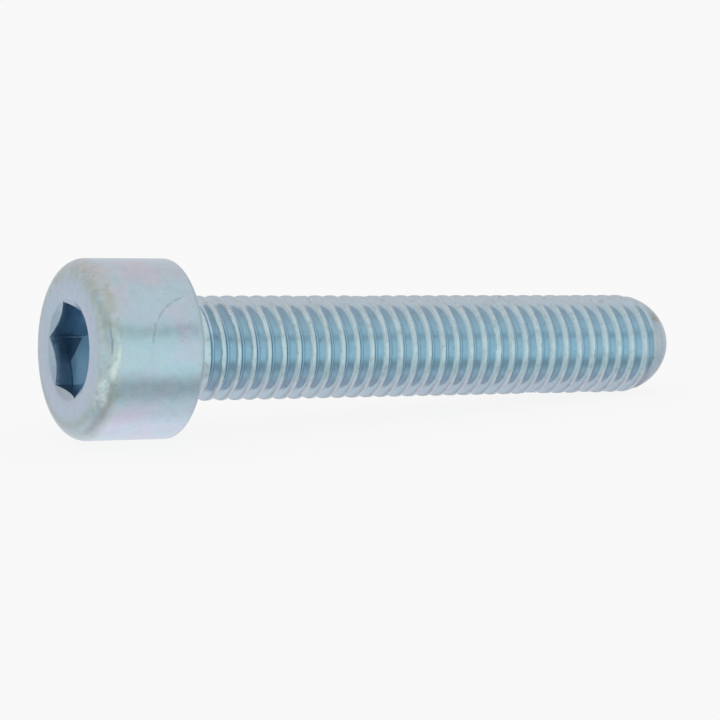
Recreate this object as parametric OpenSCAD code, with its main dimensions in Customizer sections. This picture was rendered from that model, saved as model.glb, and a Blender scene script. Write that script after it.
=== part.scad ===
// Hex socket cap screw, threaded up to its head, lying on its side as it comes to rest.
// The screw is made upright on its own axis: the bearing face at 0, the head below, the point above.

/* [Head] */
// Diameter of the cylindrical head
head_d = 8.5; // [7.6:0.1:10]
// Height of the head, from the bearing face to its flat top
head_h = 5; // [4.2:0.1:8]
// Radius of the rounded edge round the top of the head
head_top_r = 0.85; // [0.3:0.05:1.2]
// Radius of the broken edge under the head
head_rim_r = 0.2; // [0.1:0.05:0.4]

/* [Hex socket] */
// Width of the socket across its flats
socket_af = 4; // [3:0.05:4.2]
// Depth of the socket's flats below the top of the head
socket_depth = 2.6; // [1.5:0.1:3]
// Point angle of the cone that closes the socket
socket_cone_angle = 120; // [110:5:160]
// How far the countersunk mouth reaches past the socket's corners
mouth_margin = 0.06; // [0.02:0.02:0.4]
// Angle of the countersunk mouth, from side to side
mouth_angle = 120; // [80:5:130]
// Turn of the socket's corners about the axis
socket_turn = 37; // [0:1:59]

/* [Thread] */
// Diameter over the crests of the thread
thread_d = 5; // [4.6:0.05:5.4]
// Distance from one crest to the next
pitch = 0.8; // [0.6:0.05:1]
// Angle between the two flanks of the groove
flank_angle = 60; // [55:1:75]
// Flat left on each crest, as a share of the pitch
crest_share = 0.25; // [0.125:0.005:0.3]
// Flat at the bottom of the groove, as a share of the pitch
root_share = 0.125; // [0.1:0.005:0.25]
// Distance from the bearing face to the groove's first, shallow end
groove_start = 1.05; // [0.3:0.05:2]
// Distance from the groove's last, shallow end to the end of the point
groove_stop = 1.15; // [0.8:0.05:3]
// Turn at which the groove starts, about the axis
groove_turn = 90; // [0:1:359]
// Turns over which the groove runs out under the head
head_runout_turns = 0.5; // [0.25:0.25:1.5]
// Turns over which the groove runs out on the point
point_runout_turns = 0.75; // [0.25:0.25:1.5]

/* [Shank] */
// Length of the screw from the bearing face to the end of the point
shank_l = 28; // [12:0.5:40]
// Length of the rounded point
point_l = 2.4; // [1.2:0.1:4]
// Diameter of the flat that ends the point
point_d = 2.5; // [1.6:0.1:3.4]
// Radius of the fillet between the shank and the bearing face
fillet_r = 0.2; // [0.1:0.05:0.3]

/* [Hidden] */

$fn = 96;
eps = 0.01;
steps_per_turn = 24;

head_r = head_d / 2;
thread_r = thread_d / 2;
socket_corner_r = socket_af / 2 / cos(30);
mouth_r = socket_corner_r + mouth_margin;

// The groove between two turns of the thread
groove_depth = pitch * (1 - crest_share - root_share) / 2 / tan(flank_angle / 2);
groove_mouth_w = pitch * (1 - crest_share);
groove_root_w = pitch * root_share;
groove_steps = (shank_l - groove_stop - groove_start) / pitch * steps_per_turn;

// The neck stands just proud of the crests up to the groove, and the shank is seated this deep in the head
neck_r = thread_r + eps;
neck_l = max(fillet_r + eps, groove_start - groove_mouth_w / 2);
shank_seat = 0.5;

// The point is one arc, which leaves the crests smoothly and ends at the flat
point_fall = thread_r - point_d / 2;
point_arc_r = (pow(point_l, 2) + pow(point_fall, 2)) / (2 * point_fall);
point_start = shank_l - point_l;

// At rest one line under the screw touches the head's lower edge and the arc of the point
rest_run = point_start + head_rim_r;
rest_drop = (head_r - head_rim_r) - (thread_r - point_arc_r);
rest_tilt = atan(rest_drop / rest_run) - asin((point_arc_r - head_rim_r) / norm([rest_run, rest_drop]));
rest_z = (head_r - head_rim_r) * cos(rest_tilt) - head_rim_r * sin(rest_tilt) + head_rim_r;

// The origin lies midway between the two ends, measured along the floor
head_end_x = -(head_r - head_top_r) * sin(rest_tilt) - (head_h - head_top_r) * cos(rest_tilt) - head_top_r;
point_end_x = point_d / 2 * sin(rest_tilt) + shank_l * cos(rest_tilt);
rest_x = -(head_end_x + point_end_x) / 2;

// Half of the head's section: square shoulders, then the two edges rounded
module head_section() {
    difference() {
        translate([0, -head_h]) square([head_r, head_h]);
        translate([head_r - head_top_r, -head_h - eps]) square([head_top_r + eps, head_top_r + eps]);
        translate([head_r - head_rim_r, -head_rim_r]) square(head_rim_r + eps);
    }
    intersection() {
        translate([head_r - head_top_r, -head_h]) square(head_top_r);
        translate([head_r - head_top_r, head_top_r - head_h]) circle(head_top_r);
    }
    intersection() {
        translate([head_r - head_rim_r, -head_rim_r]) square(head_rim_r);
        translate([head_r - head_rim_r, -head_rim_r]) circle(head_rim_r);
    }
}

// Half of the neck's section, with the fillet that joins it to the bearing face
module neck_section() {
    translate([0, -eps]) square([neck_r, neck_l + eps]);
    difference() {
        translate([0, -eps]) square([neck_r + fillet_r, fillet_r + eps]);
        translate([neck_r + fillet_r, fillet_r]) circle(fillet_r);
    }
}

module head_and_neck() {
    rotate_extrude() {
        head_section();
        neck_section();
    }
}

// Hexagonal hole with a countersunk mouth and a conical bottom, drawn from the top of the head upwards
module socket() {
    cone_h = socket_af / 2 / tan(socket_cone_angle / 2);
    mouth_h = mouth_r / tan(mouth_angle / 2);
    rotate(socket_turn) translate([0, 0, -eps]) cylinder(socket_depth + eps, r = socket_corner_r, $fn = 6);
    translate([0, 0, socket_depth - eps]) cylinder(cone_h, socket_af / 2, 0);
    cylinder(mouth_h, mouth_r, 0);
}

// Radius of the shank's envelope at height z: a cylinder, then the arc of the point
function envelope_r(z) =
    z <= point_start ? thread_r : thread_r - point_arc_r + sqrt(pow(point_arc_r, 2) - pow(z - point_start, 2));

// The four corners of the groove's section at one step along its helix, kept between the shank's two ends
function groove_corners(step) =
    let (
        angle = groove_turn + step * 360 / steps_per_turn,
        middle = groove_start + step * pitch / steps_per_turn,
        from_head = step / (head_runout_turns * steps_per_turn),
        to_point = (groove_steps - step) / (point_runout_turns * steps_per_turn),
        depth = groove_depth * max(0, min(1, from_head, to_point))
    )
    [
        for (corner = [
            [0, -groove_mouth_w / 2],
            [depth, -groove_root_w / 2],
            [depth, groove_root_w / 2],
            [0, groove_mouth_w / 2]
        ])
        let (
            z = max(-shank_seat, min(shank_l, middle + corner[1])),
            r = min(thread_r - corner[0], envelope_r(z))
        )
        [r * cos(angle), r * sin(angle), z]
    ];

// Two triangles between neighbouring edges a-b and c-d
function strip(a, b, c, d) = [[a, c, b], [b, c, d]];

// The threaded shank: one band of groove and crest wound along it, each turn joined to the next, and two ends
module shank() {
    first = -ceil(steps_per_turn * ((shank_seat + groove_start - groove_mouth_w / 2) / pitch + 1));
    last = ceil(steps_per_turn * ((shank_l - groove_start - groove_mouth_w / 2) / pitch + 1));
    count = last - first;
    turn = 4 * steps_per_turn;
    foot = 4 * (count + 1);
    tip = foot + 1;
    points = concat(
        [for (step = [first:last]) each groove_corners(step)],
        [[0, 0, -shank_seat], [0, 0, shank_l]]);
    groove_faces = [
        for (i = [0:count - 1], side = [0:2])
        let (a = 4 * i + side)
        each strip(a, a + 1, a + 4, a + 5)
    ];
    crest_faces = [
        for (i = [0:count - 1 - steps_per_turn])
        let (a = 4 * i + 3)
        each strip(a, a + turn - 3, a + 4, a + turn + 1)
    ];
    foot_faces = [for (i = [0:steps_per_turn - 1]) [foot, 4 * i, 4 * i + 4]];
    tip_faces = [for (i = [count - steps_per_turn:count - 1]) [tip, 4 * i + 7, 4 * i + 3]];
    polyhedron(points, concat(groove_faces, crest_faces, foot_faces, tip_faces), convexity = 10);
}

module cap_screw() {
    color([0.72, 0.78, 0.83]) translate([rest_x, 0, rest_z]) rotate([0, 90 + rest_tilt, 0]) difference() {
        union() {
            head_and_neck();
            shank();
        }
        translate([0, 0, -head_h]) socket();
    }
}

cap_screw();
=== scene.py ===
import math
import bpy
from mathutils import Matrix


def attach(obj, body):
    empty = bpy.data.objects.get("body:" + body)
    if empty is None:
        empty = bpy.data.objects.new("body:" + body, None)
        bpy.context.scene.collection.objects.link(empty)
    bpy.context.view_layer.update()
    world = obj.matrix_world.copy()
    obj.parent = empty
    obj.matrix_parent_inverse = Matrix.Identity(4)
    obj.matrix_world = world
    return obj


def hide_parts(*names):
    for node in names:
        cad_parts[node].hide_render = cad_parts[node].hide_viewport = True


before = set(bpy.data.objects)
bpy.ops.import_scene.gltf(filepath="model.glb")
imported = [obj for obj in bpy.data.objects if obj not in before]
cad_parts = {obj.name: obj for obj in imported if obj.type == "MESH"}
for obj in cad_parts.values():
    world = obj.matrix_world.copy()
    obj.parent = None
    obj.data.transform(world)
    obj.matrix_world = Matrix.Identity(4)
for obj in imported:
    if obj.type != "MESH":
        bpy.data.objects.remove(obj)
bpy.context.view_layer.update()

from types import SimpleNamespace

import bmesh
import bpy
from mathutils import Matrix, Vector

print("Frame loaded:", ", ".join(sorted(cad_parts)))

mm = 0.001


# Small helpers for building node trees

def addNode(tree, kind, inputs=None, **settings):
    node = tree.nodes.new(kind)
    place = len(tree.nodes) - 1
    node.location = (220 * (place // 6), -200 * (place % 6))
    for name, value in settings.items():
        setattr(node, name, value)
    for key, value in (inputs or {}).items():
        if isinstance(value, bpy.types.NodeSocket):
            tree.links.new(value, node.inputs[key])
        else:
            node.inputs[key].default_value = value
    return node


def calc(tree, operation, *values):
    return addNode(tree, "ShaderNodeMath", dict(enumerate(values)), operation=operation).outputs[0]


def fade(tree, value, low, high):  # 0 below low, 1 above high, eased between; high may be the smaller
    node = addNode(tree, "ShaderNodeMapRange", {0: value, 1: low, 2: high}, interpolation_type="SMOOTHSTEP")
    return node.outputs[0]


def product(tree, first, *others):
    for other in others:
        first = calc(tree, "MULTIPLY", first, other)
    return first


def between(tree, share, first, second):  # first where the share is 0, second where it is 1
    return calc(tree, "MULTIPLY_ADD", share, second - first, first)


def band(tree, value, begin, full, lastFull, end):  # 1 between the inner two values, 0 outside the outer two
    return product(tree, fade(tree, value, begin, full), fade(tree, value, end, lastFull))


def apart(tree, first, second):
    return calc(tree, "ABSOLUTE", calc(tree, "SUBTRACT", first, second))


def distance(tree, first, second):
    squares = [calc(tree, "POWER", side, 2) for side in (first, second)]
    return calc(tree, "SQRT", calc(tree, "ADD", *squares))


def blendColour(tree, factor, first, second, mode="MIX"):
    node = addNode(tree, "ShaderNodeMix", {0: factor, 6: first, 7: second}, data_type="RGBA", blend_type=mode)
    return node.outputs[2]


def screenColour(red, green, blue):  # a colour as a screen shows it, 0 to 255, in Blender's own scale
    parts = []
    for value in (red, green, blue):
        part = value / 255
        parts.append(part / 12.92 if part <= 0.04045 else ((part + 0.055) / 1.055) ** 2.4)
    return (*parts, 1)


# Head: made in millimetres on its own axis, bearing face at 0 and the flat top at minus its height
headSizes = {
    "diameter": 8.5,
    "height": 5,
    "topRound": 0.85,
    "rimRound": 0.2,
    "socketWidth": 4,
    "socketDepth": 2.6,
    "socketCone": 120,
    "socketTurn": 37,
    "mouthMargin": 0.06,
    "mouthAngle": 120,
    "edgeBreak": 0.04,
    "fillet": 0.2,
    "columns": 120,
}

# Shank: the thread, its run-out under the head and the rounded point
shankSizes = {
    "length": 28,
    "threadDiameter": 5,
    "pitch": 0.8,
    "flankAngle": 60,
    "crestShare": 0.25,
    "rootShare": 0.125,
    "crestRounding": 0.08,
    "rootRounding": 0.12,
    "grooveStart": 1.05,
    "grooveTurn": 90,
    "runOut": 0.5,
    "grooveEnd": 26.85,
    "endRunOut": 0.75,
    "pointLength": 2.4,
    "pointDiameter": 2.5,
    "nickDepth": 0.3,
    "nickSpacing": 1.1,
    "rowsPerTurn": 16,
}


def pointArcRadius(shank):  # of the arc that rounds the point
    fall = (shank["threadDiameter"] - shank["pointDiameter"]) / 2
    return (shank["pointLength"] ** 2 + fall ** 2) / (2 * fall)


# At rest one line under the screw touches the head's lower edge and the arc of the point, so the axis dips
# towards the point. The origin lies midway between the screw's two ends
def restPlace(head, shank):
    headR, rim, topRound = head["diameter"] / 2, head["rimRound"], head["topRound"]
    threadR, pointR, arcR = shank["threadDiameter"] / 2, shank["pointDiameter"] / 2, pointArcRadius(shank)
    run = shank["length"] - shank["pointLength"] + rim
    drop = headR - rim - (threadR - arcR)
    tilt = math.atan2(drop, run) - math.asin((arcR - rim) / math.hypot(run, drop))
    height = (headR - rim) * math.cos(tilt) - rim * math.sin(tilt) + rim
    headEnd = (topRound - headR) * math.sin(tilt) + (topRound - head["height"]) * math.cos(tilt) - topRound
    pointEnd = pointR * math.sin(tilt) + shank["length"] * math.cos(tilt)
    return Vector((-(headEnd + pointEnd) / 2, 0, height)) * mm, tilt


bearingCentre, tilt = restPlace(headSizes, shankSizes)
screwTurn = math.radians(90) + tilt
screwMatrix = Matrix.Translation(bearingCentre) @ Matrix.Rotation(screwTurn, 4, "Y")


def mouthRadius(head):  # of the countersunk mouth, just past the socket's corners
    return head["socketWidth"] / 2 / math.cos(math.radians(30)) + head["mouthMargin"]


def arcPoints(centreR, centreZ, radius, start, end, count):
    points = []
    for step in range(count + 1):
        angle = math.radians(start + (end - start) * step / count)
        points.append((centreR + radius * math.cos(angle), centreZ + radius * math.sin(angle)))
    return points


def headRings(head, threadR):
    count = head["columns"]
    radius = head["diameter"] / 2
    top = -head["height"]
    coneR = head["socketWidth"] / 2
    mouthR = mouthRadius(head)
    mouthFall = math.tan(math.radians(head["mouthAngle"] / 2))
    floor = top + head["socketDepth"]
    wall = [coneR / math.cos(math.radians(column * 360 / count % 60 - 30)) for column in range(count)]
    rings = []

    def even(r, z):
        rings.append([(r, z)] * count)

    # Conical bottom of the socket, then its six walls up to the countersunk mouth
    for share in (0.05, 0.3, 0.6, 0.9, 0.985):
        even(coneR * share, floor + coneR * (1 - share) / math.tan(math.radians(head["socketCone"] / 2)))
    soft = head["edgeBreak"]
    lip = 0.35 * head["mouthMargin"]
    rings.append([(r - 0.125 * soft, floor) for r in wall])
    rings.append([(r, floor - 0.75 * soft) for r in wall])
    rings.append([(r, (floor + top + (mouthR - r) / mouthFall) / 2) for r in wall])
    rings.append([(r, top + (mouthR - r) / mouthFall + 0.5 * soft) for r in wall])
    rings.append([(r + 0.5 * lip, top + (mouthR - r - lip) / mouthFall) for r in wall])
    for outward, down in ((-0.3, 0.4), (0.5, 0.1), (1, 0)):
        even(mouthR + outward * soft, top + down * soft)

    # Flat top, rounded edge, side, rim, bearing face and the fillet that leads to the shank
    rim, topRound, fillet = head["rimRound"], head["topRound"], head["fillet"]
    even((mouthR + radius - topRound) / 2, top)
    for r, z in arcPoints(radius - topRound, top + topRound, topRound, -90, 0, count=14):
        even(r, z)
    for share in (0.25, 0.5, 0.75):
        even(radius, (top + topRound) * (1 - share) - rim * share)
    for r, z in arcPoints(radius - rim, -rim, rim, 0, 90, count=6):
        even(r, z)
    for share in (0.35, 0.7):
        even((radius - rim) * (1 - share) + (threadR + fillet) * share, 0)
    for r, z in arcPoints(threadR + fillet, fillet, fillet, -90, -180, count=5):
        even(r, z)
    return rings


def makeHead(head, threadR):
    mesh = bpy.data.meshes.new("screwBody")
    work = bmesh.new()
    count = head["columns"]
    before = None
    for ring in headRings(head, threadR):
        row = []
        for column, (r, z) in enumerate(ring):
            angle = math.radians(head["socketTurn"] + column * 360 / count)
            row.append(work.verts.new((r * mm * math.cos(angle), r * mm * math.sin(angle), z * mm)))
        if before is None:
            work.faces.new(row)
        else:
            for column in range(count):
                after = (column + 1) % count
                work.faces.new((before[column], row[column], row[after], before[after]))
        before = row
    work.to_mesh(mesh)
    work.free()
    body = bpy.data.objects.new("screwBody", mesh)
    bpy.context.scene.collection.objects.link(body)
    return body


def threadTree():
    tree = bpy.data.node_groups.new("threadedShank", "GeometryNodeTree")
    tree.interface.new_socket("Head", in_out="INPUT", socket_type="NodeSocketGeometry")
    for name in ("Pitch", "Thread radius", "Groove depth", "Groove mouth", "Groove root", "Crest rounding",
                 "Root rounding", "Groove start", "Groove turn", "Run-out", "Groove end", "End run-out",
                 "Thread from", "Length", "Point start", "Point arc", "First column", "Nick depth",
                 "Nick spacing"):
        tree.interface.new_socket(name, in_out="INPUT", socket_type="NodeSocketFloat")
    for name in ("Columns", "Rows per turn"):
        tree.interface.new_socket(name, in_out="INPUT", socket_type="NodeSocketInt")
    tree.interface.new_socket("Finish", in_out="INPUT", socket_type="NodeSocketMaterial")
    tree.interface.new_socket("Screw", in_out="OUTPUT", socket_type="NodeSocketGeometry")
    given = addNode(tree, "NodeGroupInput").outputs

    def do(operation, *values):
        return calc(tree, operation, *values)

    # A flat grid, whose rows climb one pitch in each turn once it is wound round the axis
    pitch, start, length = given["Pitch"], given["Thread from"], given["Length"]
    spareTurns = 2.05  # one before the thread and one past its end, where the rows close
    turns = do("ADD", do("DIVIDE", do("SUBTRACT", length, start), pitch), spareTurns)
    rows = do("CEIL", do("MULTIPLY", turns, given["Rows per turn"]))
    grid = addNode(tree, "GeometryNodeMeshGrid", {
        "Size X": 1.0, "Size Y": 1.0,
        "Vertices X": do("ADD", given["Columns"], 1), "Vertices Y": do("ADD", rows, 1)})
    position = addNode(tree, "GeometryNodeInputPosition").outputs[0]
    flat = addNode(tree, "ShaderNodeSeparateXYZ", {0: position}).outputs
    around = do("ADD", flat[0], 0.5)
    row = do("ROUND", do("MULTIPLY", do("ADD", flat[1], 0.5), rows))
    climbed = do("ADD", do("DIVIDE", row, given["Rows per turn"]), around)
    wanted = do("MULTIPLY_ADD", do("SUBTRACT", climbed, 1), pitch, start)
    height = do("MINIMUM", do("MAXIMUM", wanted, start), length)
    angle = do("MULTIPLY_ADD", around, math.tau, given["First column"])

    # How far a point lies from the middle of its groove, and how deep the groove is there
    travelled = do("DIVIDE", do("SUBTRACT", height, given["Groove start"]), pitch)
    phase = do("SUBTRACT", travelled, do("DIVIDE", do("SUBTRACT", angle, given["Groove turn"]), math.tau))
    offset = do("WRAP", phase, 0.5, -0.5)
    away = do("MULTIPLY", do("ABSOLUTE", offset), pitch)
    slope = do("DIVIDE", do("SUBTRACT", given["Groove mouth"], away),
               do("SUBTRACT", given["Groove mouth"], given["Groove root"]))
    flank = do("SMOOTH_MAX", do("MULTIPLY", slope, given["Groove depth"]), 0, given["Crest rounding"])
    cut = do("SMOOTH_MIN", flank, given["Groove depth"], given["Root rounding"])
    turn = do("DIVIDE", do("SUBTRACT", travelled, offset), given["Run-out"])
    beginning = do("MINIMUM", do("MAXIMUM", turn, 0), 1)
    left = do("SUBTRACT", given["Groove end"], do("SUBTRACT", height, do("MULTIPLY", offset, pitch)))
    left = do("DIVIDE", do("DIVIDE", left, pitch), given["End run-out"])
    ending = do("MINIMUM", do("MAXIMUM", left, 0), 1)
    plainStart = do("MULTIPLY", pitch, 0.12)  # nothing is cut where the shank meets the fillet
    clear = do("MINIMUM", do("DIVIDE", do("SUBTRACT", height, start), plainStart), 1)
    cut = do("MULTIPLY", cut, do("MULTIPLY", do("MULTIPLY", beginning, ending), clear))

    # Crests are a little nicked
    flatPlace = addNode(tree, "ShaderNodeCombineXYZ", {
        0: do("MULTIPLY", given["Thread radius"], do("COSINE", angle)),
        1: do("MULTIPLY", given["Thread radius"], do("SINE", angle)), 2: height}).outputs[0]
    bumps = addNode(tree, "ShaderNodeTexNoise", {
        "Vector": flatPlace, "Scale": do("DIVIDE", 1, given["Nick spacing"]), "Detail": 2.0}).outputs[0]
    nickLevel = 0.56  # only the noise's highest bumps cut into the crests
    nick = do("MULTIPLY", do("MAXIMUM", do("SUBTRACT", bumps, nickLevel), 0), given["Nick depth"])
    cut = do("MAXIMUM", cut, do("MULTIPLY", nick, clear))

    # The point's arc limits the thread, and past the end the rows close on the axis
    past = do("MAXIMUM", do("SUBTRACT", height, given["Point start"]), 0)
    under = do("SUBTRACT", do("POWER", given["Point arc"], 2), do("POWER", past, 2))
    envelope = do("ADD", do("SUBTRACT", given["Thread radius"], given["Point arc"]), do("SQRT", under))
    radius = do("MINIMUM", do("SUBTRACT", given["Thread radius"], cut), envelope)
    closingRun = do("MULTIPLY", pitch, 0.9)
    closing = do("DIVIDE", do("SUBTRACT", wanted, length), closingRun)
    shrink = do("SUBTRACT", 1, do("MINIMUM", do("MAXIMUM", closing, 0), 1))
    radius = do("MULTIPLY", radius, shrink)
    wound = addNode(tree, "ShaderNodeCombineXYZ", {
        0: do("MULTIPLY", radius, do("COSINE", angle)),
        1: do("MULTIPLY", radius, do("SINE", angle)), 2: height})
    shank = addNode(tree, "GeometryNodeSetPosition", {
        "Geometry": grid.outputs["Mesh"], "Position": wound.outputs[0]})

    # Head and shank share one ring of points at the top of the fillet
    joined = addNode(tree, "GeometryNodeJoinGeometry")
    tree.links.new(given["Head"], joined.inputs[0])
    tree.links.new(shank.outputs[0], joined.inputs[0])
    merged = addNode(tree, "GeometryNodeMergeByDistance", {
        "Geometry": joined.outputs[0], "Distance": 0.002 * mm})
    realized = addNode(tree, "GeometryNodeRealizeInstances", {0: merged.outputs[0]})
    finished = addNode(tree, "GeometryNodeSetMaterial", {
        "Geometry": realized.outputs[0], "Material": given["Finish"]})
    addNode(tree, "NodeGroupOutput", {"Screw": finished.outputs[0]})
    return tree


def setInputs(modifier, values):
    for item in modifier.node_group.interface.items_tree:
        if item.in_out == "INPUT" and item.name in values:
            modifier[item.identifier] = values[item.name]


def makeScrew(head, shank, finish):
    threadR = shank["threadDiameter"] / 2
    depth = (shank["pitch"] * (1 - shank["crestShare"] - shank["rootShare"]) / 2
             / math.tan(math.radians(shank["flankAngle"] / 2)))
    body = makeHead(head, threadR)
    modifier = body.modifiers.new("Thread", "NODES")
    modifier.node_group = threadTree()
    setInputs(modifier, {
        "Pitch": shank["pitch"] * mm,
        "Thread radius": threadR * mm,
        "Groove depth": depth * mm,
        "Groove mouth": shank["pitch"] * (1 - shank["crestShare"]) / 2 * mm,
        "Groove root": shank["pitch"] * shank["rootShare"] / 2 * mm,
        "Crest rounding": shank["crestRounding"] * mm,
        "Root rounding": shank["rootRounding"] * mm,
        "Groove start": shank["grooveStart"] * mm,
        "Groove turn": math.radians(shank["grooveTurn"]),
        "Run-out": float(shank["runOut"]),
        "Groove end": shank["grooveEnd"] * mm,
        "End run-out": float(shank["endRunOut"]),
        "Thread from": head["fillet"] * mm,
        "Length": shank["length"] * mm,
        "Point start": (shank["length"] - shank["pointLength"]) * mm,
        "Point arc": pointArcRadius(shank) * mm,
        "First column": math.radians(head["socketTurn"]),
        "Nick depth": shank["nickDepth"] * mm,
        "Nick spacing": shank["nickSpacing"] * mm,
        "Columns": head["columns"],
        "Rows per turn": shank["rowsPerTurn"],
        "Finish": finish,
    })
    plain = bpy.data.meshes.new_from_object(body.evaluated_get(bpy.context.evaluated_depsgraph_get()))
    body.modifiers.clear()
    body.data = plain

    # Close the shell, turn every face outwards and lay the screw in its place
    work = bmesh.new()
    work.from_mesh(plain)
    bmesh.ops.dissolve_degenerate(work, dist=0.0001 * mm, edges=work.edges)
    bmesh.ops.delete(work, geom=[point for point in work.verts if not point.link_faces], context="VERTS")
    bmesh.ops.recalc_face_normals(work, faces=work.faces)
    openEdges = sum(1 for edge in work.edges if not edge.is_manifold)
    work.transform(screwMatrix)
    work.to_mesh(plain)
    work.free()
    plain.shade_smooth()
    plain.set_sharp_from_angle(angle=math.radians(42))
    print("Screw:", len(plain.polygons), "faces,", openEdges, "open edges")
    return body


# Zinc plate with a blue passivation film, matt on the crests and smooth in the rolled grooves. These three
# colours are each in more than one coat
straw = (182, 192, 189)
olive = (162, 172, 163)
slate = (92, 108, 112)

zincLook = {
    # Coats, each laid over the ones before it: its colour as a screen shows it, and how much of what lies
    # beneath it covers. A patchy one has its noise (per millimetre, detail, shift) and the two limits of that
    # noise, where the coat is absent and where it is full
    "coats": {
        "film": {"colour": (173, 197, 208)},
        "violet": {"colour": (182, 190, 203), "cover": 0.55, "noise": (0.5, 3, 0), "limits": (0.4, 0.64)},
        "rose": {"colour": (188, 187, 202), "cover": 0.5, "noise": (0.8, 1.5, 53), "limits": (0.48, 0.7)},
        "mint": {"colour": (168, 198, 200), "cover": 0.42, "noise": (0.8, 1.5, 53), "limits": (0.5, 0.3)},
        "straw": {"colour": straw, "cover": 0.3, "noise": (2.4, 5, 7), "limits": (0.5, 0.68)},
        "face": {"colour": (184, 185, 198), "cover": 0.3},
        "edgeStraw": {"colour": straw},
        "edgeSpots": {"colour": olive, "cover": 0.45, "noise": (2.2, 3, 31), "limits": (0.5, 0.66)},
        "upperEdge": {"colour": olive, "cover": 0.45, "noise": (1.6, 4, 91), "limits": (0.4, 0.6)},
        "lowerEdgeShade": {"colour": (150, 174, 178), "cover": 0.5},
        "edgeLine": {"colour": olive, "cover": 0.5, "noise": (0.8, 1.5, 53), "limits": (0.3, 0.5)},
        "rim": {"colour": (160, 166, 168), "cover": 0.35},
        "edgeHighlight": {"colour": (224, 236, 232), "noise": (2.6, 4, 41), "limits": (0.36, 0.6)},
        "darkEdgeBand": {"colour": slate, "cover": 0.45},
        "sideShadePatches": {"colour": (134, 156, 170), "cover": 0.2, "noise": (1.9, 3, 47), "limits": (0.42, 0.62)},
        "scratch": {"colour": (128, 140, 142), "cover": 0.38, "noise": (2, 2, 71), "limits": (0.3, 0.5)},
        "crest": {"colour": (190, 210, 216), "cover": 0.8},
        "neck": {"colour": (204, 224, 230)},
        "groove": {"colour": (187, 210, 222), "cover": 0.9},
        "root": {"colour": (146, 177, 196), "cover": 0.9},
        "firstGrooveShade": {"colour": (146, 166, 190), "cover": 0.5},
        "grooveMarks": {"colour": slate, "cover": 0.6},
        "chips": {"colour": (150, 160, 162), "cover": 0.34, "noise": (3.2, 4, 83), "limits": (0.5, 0.68)},
        "nose": {"colour": (167, 175, 182), "cover": 0.8},
        "stain": {"colour": (152, 142, 130), "cover": 0.8},
        "mouth": {"colour": (150, 166, 178), "cover": 0.6},
        "socket": {"colour": (166, 190, 209)},
        "socketShade": {"colour": (106, 128, 146)},
        "socketLitPatch": {"colour": (206, 226, 236)},
        "socketHighlight": {"colour": (238, 246, 252), "cover": 0.8},
        "socketFloor": {"colour": (176, 204, 220)},
        "specks": {"colour": (138, 128, 112), "cover": 0.35, "noise": (5, 3, 3), "limits": (0.64, 0.74)},
    },

    # Marks, in millimetres on the screw's own axis: x runs down, y away from the near side, z to the point.
    # A run goes down the near side: where it begins, is full, is last full and ends. Turns and widths are in
    # degrees along the head's rounded edge, 0 at its side and 90 at its face, and a pair is for above and
    # below. The scratch's turn goes round the axis
    "edgeHighlightRun": (-1.7, -1.1, 1.7, 2.5),
    "edgeHighlightTurns": (15, 52),
    "edgeHighlightWidths": (12, 32),
    "edgeHighlightCovers": (0.45, 0.85),
    "darkEdgeBandRun": (-2.6, -0.7, -0.5, -0.2),
    "darkEdgeBandTurn": 36,
    "sideShadePatchesRun": (-1.85, -1.5, -1.3, -1.0),
    "scratchTurn": -99.1,
    "scratchAlong": -0.16,
    "scratchRadius": 2.5,
    "grooveMarksRun": (-0.6, -0.3, 0.1, 0.3),
    "stainPlace": (-1.52, -1.57, 26.92),
    "patchDepth": 1.02,
    "patchSlope": 0.62,
    "shankShadeAbove": 0.1,
    "shankShadeBelow": 0.27,

    "roughness": 0.27,
    "crestRoughness": 0.34,
    "grooveRoughness": 0.18,
    "socketRoughness": 0.24,
    "rootAdds": 0.2,
    "floorAdds": 0.3,
    "roughnessVaries": 0.06,
    "bumpStrength": 0.35,
    "bumpDepth": 0.04,
}


def noise(plate, scale, detail, shift=0, stretch=(1, 1, 1)):
    moved = addNode(plate.tree, "ShaderNodeMapping", {
        "Vector": plate.own, "Location": (shift, 0, shift), "Scale": stretch}).outputs[0]
    texture = addNode(plate.tree, "ShaderNodeTexNoise", {"Vector": moved, "Scale": scale, "Detail": detail})
    return texture.outputs[0]


def addCoat(plate, below, name, *masks):
    coat = plate.look["coats"][name]
    amount = product(plate.tree, coat.get("cover", 1), *masks)
    if "noise" in coat:
        patches = fade(plate.tree, noise(plate, *coat["noise"]), *coat["limits"])
        amount = product(plate.tree, amount, patches)
    return blendColour(plate.tree, amount, below, screenColour(*coat["colour"]))


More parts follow.
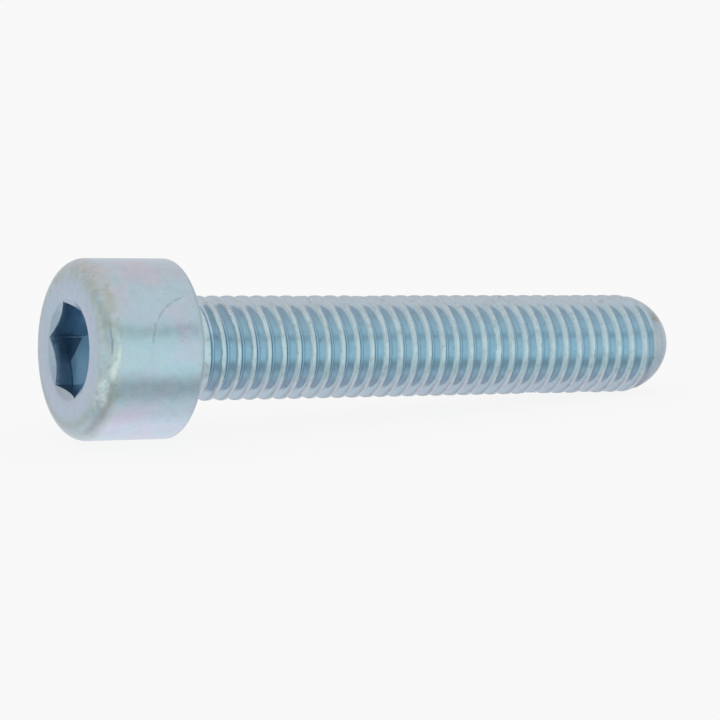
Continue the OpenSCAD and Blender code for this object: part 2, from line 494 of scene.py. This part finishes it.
# Where things lie, for the material: distances in millimetres, one turn, and masks that are 1 on their part
# of the screw and 0 elsewhere, with a soft edge
def findParts(plate, head, shank):
    tree = plate.tree
    plate.x, plate.y, plate.z = addNode(tree, "ShaderNodeSeparateXYZ", {0: plate.own}).outputs
    plate.fromAxis = distance(tree, plate.x, plate.y)
    plate.depth = calc(tree, "ADD", plate.z, head["height"])
    plate.nearSide = fade(tree, plate.y, -0.5, -1.2)

    # The shank with its crests, its groove, the groove's root and the nose; crest and groove meet unevenly
    crestR = shank["threadDiameter"] / 2
    plate.onShank = fade(tree, plate.z, -0.02, 0.06)
    plate.onNose = fade(tree, plate.z, shank["grooveEnd"] - 0.68, shank["grooveEnd"] - 0.18)
    ridge = calc(tree, "ADD", plate.fromAxis, between(tree, noise(plate, 4, 3, 17), -0.05, 0.05))
    plate.onCrest = product(tree, plate.onShank, fade(tree, ridge, crestR - 0.12, crestR - 0.03))
    plate.inGroove = product(tree, plate.onShank, fade(tree, ridge, crestR - 0.05, crestR - 0.16))
    plate.inRoot = product(tree, plate.onShank, fade(tree, plate.fromAxis, crestR - 0.34, crestR - 0.4))

    # The head's rounded edge and the turn along it, the flat face, the side and the rim
    headR = head["diameter"] / 2
    edgeR = headR - head["topRound"]
    edgeZ = head["topRound"] - head["height"]
    plate.edgeTurn = calc(tree, "ARCTAN2", calc(tree, "SUBTRACT", edgeZ, plate.z),
                          calc(tree, "SUBTRACT", plate.fromAxis, edgeR))
    plate.onEdge = product(tree, fade(tree, plate.fromAxis, edgeR - 0.35, edgeR + 0.25),
                           fade(tree, plate.z, edgeZ + 0.15, edgeZ - 0.35))
    plate.pastFace = fade(tree, plate.fromAxis, edgeR - 0.1, edgeR + 0.02)
    plate.onFace = product(tree, fade(tree, plate.fromAxis, edgeR + 0.3, edgeR - 0.2),
                           fade(tree, plate.depth, 0.2, 0.05))
    plate.onSide = product(tree, fade(tree, plate.fromAxis, headR - 0.05, headR - 0.02),
                           fade(tree, plate.z, -0.25, -0.4))
    plate.onRim = product(tree, fade(tree, plate.z, -0.3, -0.1),
                          fade(tree, plate.fromAxis, headR - 0.35, headR - 0.15))

    # The socket's countersunk mouth, the socket and its conical floor
    mouthR = mouthRadius(head)
    mouthSpread = math.tan(math.radians(head["mouthAngle"] / 2))
    pastMouth = calc(tree, "MULTIPLY_ADD", plate.depth, mouthSpread,
                     calc(tree, "SUBTRACT", plate.fromAxis, mouthR))
    inHead = fade(tree, plate.z, 0.3, 0.2)
    plate.inMouth = product(tree, fade(tree, plate.fromAxis, mouthR + 0.06, mouthR - 0.06), inHead)
    plate.inSocket = product(tree, fade(tree, pastMouth, 0.01, 0.06), fade(tree, plate.depth, 0.01, 0.05),
                             fade(tree, plate.fromAxis, mouthR + 0.02, mouthR - 0.02), inHead)
    plate.onFloor = product(tree, plate.inSocket,
                            fade(tree, plate.depth, head["socketDepth"] - 0.08, head["socketDepth"] + 0.02))


# Broad drifts of hue in the film, and a fine mottle over them
def paintFilm(plate):
    base = screenColour(*plate.look["coats"]["film"]["colour"])
    for name in ("violet", "rose", "mint", "straw"):
        base = addCoat(plate, base, name)
    return addCoat(plate, base, "face", plate.onFace)


# Straw and olive blotches on the head's rounded edge, where the film is thickest, painted shade on the edge's
# lower part, and a greyer rim
def paintEdge(plate, base):
    tree = plate.tree
    blotches = fade(tree, noise(plate, 1.7, 4, 23), 0.38, 0.62)
    base = addCoat(plate, base, "edgeStraw", plate.onEdge, between(tree, blotches, 0.3, 0.9))
    base = addCoat(plate, base, "edgeSpots", plate.onEdge)
    base = addCoat(plate, base, "upperEdge", plate.onEdge, fade(tree, plate.x, 0, -1.6))
    beneath = product(tree, plate.onEdge, fade(tree, plate.x, 1.5, 2.6))
    # painted shade: the lower part of the rounded edge is darker and greyer
    base = addCoat(plate, base, "lowerEdgeShade", beneath)
    besideFace = fade(tree, plate.edgeTurn, math.radians(62), math.radians(80))
    base = addCoat(plate, base, "edgeLine", beneath, besideFace, plate.pastFace)
    return addCoat(plate, base, "rim", plate.onRim)


# Painted highlight and a thin painted dark reflection band on the rounded edge, painted shade in patches on
# the side where it mirrors the room's dark band, and a thin curved scratch on the side
def paintHeadMarks(plate, base, headR):
    tree, look, x = plate.tree, plate.look, plate.x
    # painted highlight: a bright band along the rounded edge, where it would mirror the front light
    above, below = look["edgeHighlightTurns"]
    middle = between(tree, fade(tree, x, -0.3, 1.3), math.radians(above), math.radians(below))
    above, below = look["edgeHighlightWidths"]
    width = between(tree, fade(tree, x, -0.3, 1), math.radians(above), math.radians(below))
    off = calc(tree, "DIVIDE", apart(tree, plate.edgeTurn, middle), width)
    cover = between(tree, fade(tree, x, 0, 1.4), *look["edgeHighlightCovers"])
    run = band(tree, x, *look["edgeHighlightRun"])
    base = addCoat(plate, base, "edgeHighlight", run, plate.nearSide, fade(tree, off, 1, 0.2), cover)

    # painted dark reflection: a thin wavy dark band at one turn along the rounded edge, where it would mirror
    # a dim part of the room
    middle = math.radians(look["darkEdgeBandTurn"])
    waver = 0.15  # radians to either side
    wavy = between(tree, noise(plate, 1.2, 2, 61), middle - waver, middle + waver)
    inDarkEdgeBand = fade(tree, apart(tree, plate.edgeTurn, wavy), math.radians(5), math.radians(1))
    base = addCoat(plate, base, "darkEdgeBand", inDarkEdgeBand, plate.nearSide, band(tree, x, *look["darkEdgeBandRun"]))

    # painted shade: darker patches on the near side of the head, where it mirrors the room's dark band
    base = addCoat(plate, base, "sideShadePatches", band(tree, x, *look["sideShadePatchesRun"]), plate.onSide, plate.nearSide)

    # The scratch is part of a circle laid on the side
    turn = calc(tree, "SUBTRACT", calc(tree, "ARCTAN2", plate.y, x), math.radians(look["scratchTurn"]))
    around = product(tree, turn, headR)
    along = calc(tree, "SUBTRACT", plate.z, look["scratchAlong"])
    onCircle = fade(tree, apart(tree, distance(tree, around, along), look["scratchRadius"]), 0.09, 0.02)
    quarter = product(tree, fade(tree, around, 0.1, -0.3), fade(tree, along, -0.6, -0.9))
    return addCoat(plate, base, "scratch", onCircle, plate.onSide, quarter)


# Pale chipped crests, bluer grooves with painted shade in their roots, painted shade in the first groove
# under the head, and a greyer nose with one brown stain
def paintShank(plate, base, grooveStart):
    tree, look, x = plate.tree, plate.look, plate.x
    base = addCoat(plate, base, "crest", plate.onShank)
    onNeck = fade(tree, plate.z, grooveStart - 0.25, grooveStart - 0.45)
    base = addCoat(plate, base, "neck", plate.onShank, onNeck)
    base = addCoat(plate, base, "groove", plate.inGroove)
    # painted shade: the roots of the grooves are darker
    base = addCoat(plate, base, "root", plate.inRoot)
    firstTurn = fade(tree, plate.z, grooveStart + 0.37, grooveStart + 0.27)
    inFirst = product(tree, plate.inGroove, plate.nearSide, firstTurn)
    # painted shade: the upper half of the first groove, next to the head, is darker
    base = addCoat(plate, base, "firstGrooveShade", inFirst, fade(tree, x, 0.3, -0.5))
    lines = fade(tree, noise(plate, 2.6, 2, 97, stretch=(0.3, 0.3, 3)), 0.5, 0.6)
    base = addCoat(plate, base, "grooveMarks", inFirst, band(tree, x, *look["grooveMarksRun"]), lines)
    base = addCoat(plate, base, "chips", plate.onCrest)
    base = addCoat(plate, base, "nose", plate.onNose)
    away = addNode(tree, "ShaderNodeVectorMath", {0: plate.own, 1: look["stainPlace"]}, operation="DISTANCE")
    ragged = calc(tree, "ADD", away.outputs["Value"], between(tree, noise(plate, 3, 3), -0.3, 0.3))
    return addCoat(plate, base, "stain", fade(tree, ragged, 0.45, 0.1))


# Deep blue walls, painted shade high on the wall that is seen best, a painted pool of light deep on it,
# painted highlight lines round that pool and down one corner, and a duller floor
def paintSocket(plate, base, head):
    tree, look = plate.tree, plate.look
    base = addCoat(plate, base, "mouth", plate.inMouth)
    base = addCoat(plate, base, "socket", plate.inSocket)
    wallTurn = math.radians(head["socketTurn"] + 30)
    wallR = head["socketWidth"] / 2
    across = calc(tree, "SUBTRACT", product(tree, plate.y, math.cos(wallTurn)),
                  product(tree, plate.x, math.sin(wallTurn)))
    outward = calc(tree, "ADD", product(tree, plate.x, math.cos(wallTurn)),
                   product(tree, plate.y, math.sin(wallTurn)))
    onWall = product(tree, plate.inSocket, fade(tree, outward, wallR - 0.1, wallR - 0.04))
    patchDepth = look["patchDepth"]
    patchFrom = calc(tree, "MULTIPLY_ADD", calc(tree, "MAXIMUM", across, 0), look["patchSlope"], patchDepth)
    inPatch = fade(tree, calc(tree, "SUBTRACT", plate.depth, patchFrom), -0.04, 0.04)
    darkFrom = between(tree, fade(tree, across, -0.3, 0.2), patchDepth - 0.2, patchDepth - 0.6)
    abovePatch = product(tree, fade(tree, plate.depth, darkFrom, patchDepth),
                         calc(tree, "SUBTRACT", 1, inPatch))
    # painted shade: the wall is darker above the pool of light
    base = addCoat(plate, base, "socketShade", onWall, abovePatch)
    # painted light: a pale pool deep on the wall
    base = addCoat(plate, base, "socketLitPatch", onWall, inPatch)

    # painted highlight: pale lines round the pool of light and down one corner
    cornerAcross = wallR * math.tan(math.radians(30))
    onLine = product(tree, onWall, fade(tree, apart(tree, plate.depth, patchFrom), 0.07, 0.01),
                     fade(tree, across, 0.3, 0))
    inCorner = product(tree, plate.inSocket, fade(tree, apart(tree, across, cornerAcross), 0.04, 0.01),
                       fade(tree, plate.depth, 0.6, 0.9))
    base = addCoat(plate, base, "socketHighlight", calc(tree, "MAXIMUM", onLine, inCorner))
    return addCoat(plate, base, "socketFloor", plate.onFloor)


# Small brown specks, and a fine grain; the shank is painted darker above and below, as painted shade
def addGrain(plate, base):
    tree, look = plate.tree, plate.look
    base = addCoat(plate, base, "specks")
    below = product(tree, fade(tree, plate.x, 0.9, 2.1), look["shankShadeBelow"])
    above = product(tree, fade(tree, plate.x, -1.1, -2.2), look["shankShadeAbove"])
    shankShade = product(tree, plate.onShank, calc(tree, "ADD", below, above))
    grain = product(tree, between(tree, plate.fine, 0.9, 1.1), calc(tree, "SUBTRACT", 1, shankShade))
    grey = addNode(tree, "ShaderNodeCombineColor", {0: grain, 1: grain, 2: grain}).outputs[0]
    return blendColour(tree, 1, base, grey, mode="MULTIPLY")


def plateRoughness(plate):
    tree, look = plate.tree, plate.look
    plain, varies = look["roughness"], look["roughnessVaries"]

    def add(rough, part, more):
        return calc(tree, "MULTIPLY_ADD", part, more, rough)

    rough = between(tree, plate.fine, plain - varies, plain + varies)
    rough = add(rough, plate.onCrest, look["crestRoughness"] - plain)
    rough = add(rough, plate.inGroove, look["grooveRoughness"] - plain)
    rough = add(rough, plate.inRoot, look["rootAdds"])
    rough = addNode(tree, "ShaderNodeMix", {0: plate.onNose, 2: rough, 3: look["crestRoughness"]}).outputs[0]
    rough = add(rough, plate.inSocket, look["socketRoughness"] - plain)
    return add(rough, plate.onFloor, look["floorAdds"])


def makeZincPlate(look, head, shank):
    finish = bpy.data.materials.new("zincPlate")
    finish.use_nodes = True
    tree = finish.node_tree
    tree.nodes.clear()

    # Millimetres on the screw's own axis, as the head and the shank are made
    place = addNode(tree, "ShaderNodeTexCoord").outputs["Object"]
    own = addNode(tree, "ShaderNodeMapping", {
        "Vector": place, "Location": bearingCentre, "Rotation": (0, screwTurn, 0), "Scale": (mm, mm, mm)},
        vector_type="TEXTURE").outputs[0]

    plate = SimpleNamespace(tree=tree, own=own, look=look)
    findParts(plate, head, shank)
    plate.fine = noise(plate, 2.4, 2.5)
    base = paintFilm(plate)
    base = paintEdge(plate, base)
    base = paintHeadMarks(plate, base, head["diameter"] / 2)
    base = paintShank(plate, base, shank["grooveStart"])
    base = paintSocket(plate, base, head)
    base = addGrain(plate, base)

    relief = calc(tree, "ADD", noise(plate, 1.1, 3, 11), product(tree, plate.fine, 0.1))
    bump = addNode(tree, "ShaderNodeBump", {
        "Strength": look["bumpStrength"], "Distance": look["bumpDepth"] * mm, "Height": relief})
    shader = addNode(tree, "ShaderNodeBsdfPrincipled", {
        "Base Color": base, "Metallic": 1.0, "Roughness": plateRoughness(plate), "Normal": bump.outputs[0]})
    addNode(tree, "ShaderNodeOutputMaterial", {"Surface": shader.outputs[0]})
    print("Finish:", len(tree.nodes), "nodes")
    return finish


zincPlate = makeZincPlate(zincLook, headSizes, shankSizes)
screw = makeScrew(headSizes, shankSizes, zincPlate)
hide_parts("cap_screw")
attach(screw, "root")


# Studio: a pale floor, and soft light all round with two dim gaps beside the front sheet
studio = {
    "floorSize": 1.2,
    "floorColour": (0.94, 0.94, 0.94),
    "background": 0.95,
    "shadowShare": 0.07,
    "ends": (0.96, 0.99, 1.0),
    "endsAboveBelow": (0.74, 0.82, 0.86),
    "lowLeft": 0.7,
}

# Light seen in the metal, by the angle round the screw's length: 0 is in front, 90 above, minus 90 below
lightBands = [
    (-180, (0.82, 0.83, 0.88)),
    (-135, (1.14, 1.1, 1.16)),
    (-100, (1.38, 1.2, 1.29)),
    (-88, (1.12, 1.0, 1.05)),
    (-78, (1.04, 0.96, 0.98)),
    (-68, (1.06, 1.02, 1.05)),
    (-56, (0.7, 0.73, 0.74)),
    (-43, (0.54, 0.58, 0.57)),
    (-35, (0.62, 0.67, 0.67)),
    (-25, (1.02, 1.12, 1.12)),
    (-5, (1.04, 1.14, 1.15)),
    (17, (1.0, 1.07, 1.07)),
    (27, (0.68, 0.71, 0.7)),
    (31, (0.71, 0.74, 0.73)),
    (39, (1.0, 1.03, 1.03)),
    (90, (1.02, 0.94, 0.93)),
    (140, (0.98, 0.86, 0.87)),
    (180, (0.82, 0.83, 0.88)),
]


def paperWhite(values):
    return (*[values["background"]] * 3, 1)


def makeRoom(values, bands):
    world = bpy.data.worlds.new("studio")
    bpy.context.scene.world = world
    world.use_nodes = True
    tree = world.node_tree
    tree.nodes.clear()
    toward = addNode(tree, "ShaderNodeSeparateXYZ", {
        0: addNode(tree, "ShaderNodeTexCoord").outputs["Generated"]}).outputs
    angle = calc(tree, "ARCTAN2", toward[2], calc(tree, "MULTIPLY", toward[1], -1))
    place = addNode(tree, "ShaderNodeMapRange", {0: angle, 1: -math.pi, 2: math.pi}).outputs[0]
    ramp = addNode(tree, "ShaderNodeValToRGB", {0: place})
    stops = ramp.color_ramp.elements
    while len(stops) < len(bands):
        stops.new(0.5)
    for stop, (degrees, colour) in zip(stops, bands):
        stop.position = (degrees + 180) / 360
        stop.color = (*colour, 1)

    # The room's two ends, past the screw's head and point, and its low left, which is dimmer
    endOn = fade(tree, calc(tree, "ABSOLUTE", toward[0]), 0.5, 0.9)
    steep = fade(tree, calc(tree, "ABSOLUTE", toward[2]), 0.05, 0.4)
    ends = blendColour(tree, steep, (*values["ends"], 1), (*values["endsAboveBelow"], 1))
    tint = blendColour(tree, endOn, ramp.outputs[0], ends)
    corner = calc(tree, "MULTIPLY", fade(tree, toward[0], -0.05, -0.35), fade(tree, toward[2], -0.55, -0.85))
    level = calc(tree, "SUBTRACT", 1, calc(tree, "MULTIPLY", corner, 1 - values["lowLeft"]))

    # The camera itself sees plain white behind the floor
    light = addNode(tree, "ShaderNodeBackground", {"Color": tint, "Strength": level})
    white = addNode(tree, "ShaderNodeBackground", {"Color": paperWhite(values), "Strength": 1.0})
    seen = addNode(tree, "ShaderNodeLightPath").outputs["Is Camera Ray"]
    room = addNode(tree, "ShaderNodeMixShader", {0: seen, 1: light.outputs[0], 2: white.outputs[0]})
    addNode(tree, "ShaderNodeOutputWorld", {"Surface": room.outputs[0]})


def makePaper(values):
    paper = bpy.data.materials.new("studioPaper")
    paper.use_nodes = True
    tree = paper.node_tree
    tree.nodes.clear()
    matt = addNode(tree, "ShaderNodeBsdfDiffuse", {"Color": (*values["floorColour"], 1)})
    glow = addNode(tree, "ShaderNodeEmission", {"Color": paperWhite(values), "Strength": 1.0})
    seen = addNode(tree, "ShaderNodeLightPath").outputs["Is Camera Ray"]
    share = calc(tree, "MULTIPLY", seen, 1 - values["shadowShare"])
    surface = addNode(tree, "ShaderNodeMixShader", {0: share, 1: matt.outputs[0], 2: glow.outputs[0]})
    addNode(tree, "ShaderNodeOutputMaterial", {"Surface": surface.outputs[0]})
    return paper


def makeFloor(values):
    mesh = bpy.data.meshes.new("studioFloor")
    size = values["floorSize"]
    corners = [(-size, -size, 0), (size, -size, 0), (size, size, 0), (-size, size, 0)]
    mesh.from_pydata(corners, [], [(0, 1, 2, 3)])
    mesh.materials.append(makePaper(values))
    floor = bpy.data.objects.new("studioFloor", mesh)
    bpy.context.scene.collection.objects.link(floor)
    floor.visible_glossy = False  # the screw was held clear of the paper, so the metal shows the room instead


makeRoom(studio, lightBands)
makeFloor(studio)
print("Studio ready")

# Camera: a long lens, level, from the head's side and slightly above
cameraPlace = {
    "location": (-67.848, -119.136, 25.258),
    "lookDown": 9.316,
    "turn": 29.331,
    "lens": 141.33,
}


def makeCamera(place):
    lens = bpy.data.cameras.new("camera")
    lens.lens = place["lens"]
    lens.sensor_width = 36
    lens.clip_start = 0.01
    lens.clip_end = 5
    camera = bpy.data.objects.new("camera", lens)
    camera.location = Vector(place["location"]) * mm
    camera.rotation_euler = (math.radians(90 - place["lookDown"]), 0, math.radians(-place["turn"]))
    bpy.context.scene.collection.objects.link(camera)
    bpy.context.scene.camera = camera


makeCamera(cameraPlace)
bpy.context.scene.view_settings.view_transform = "Standard"
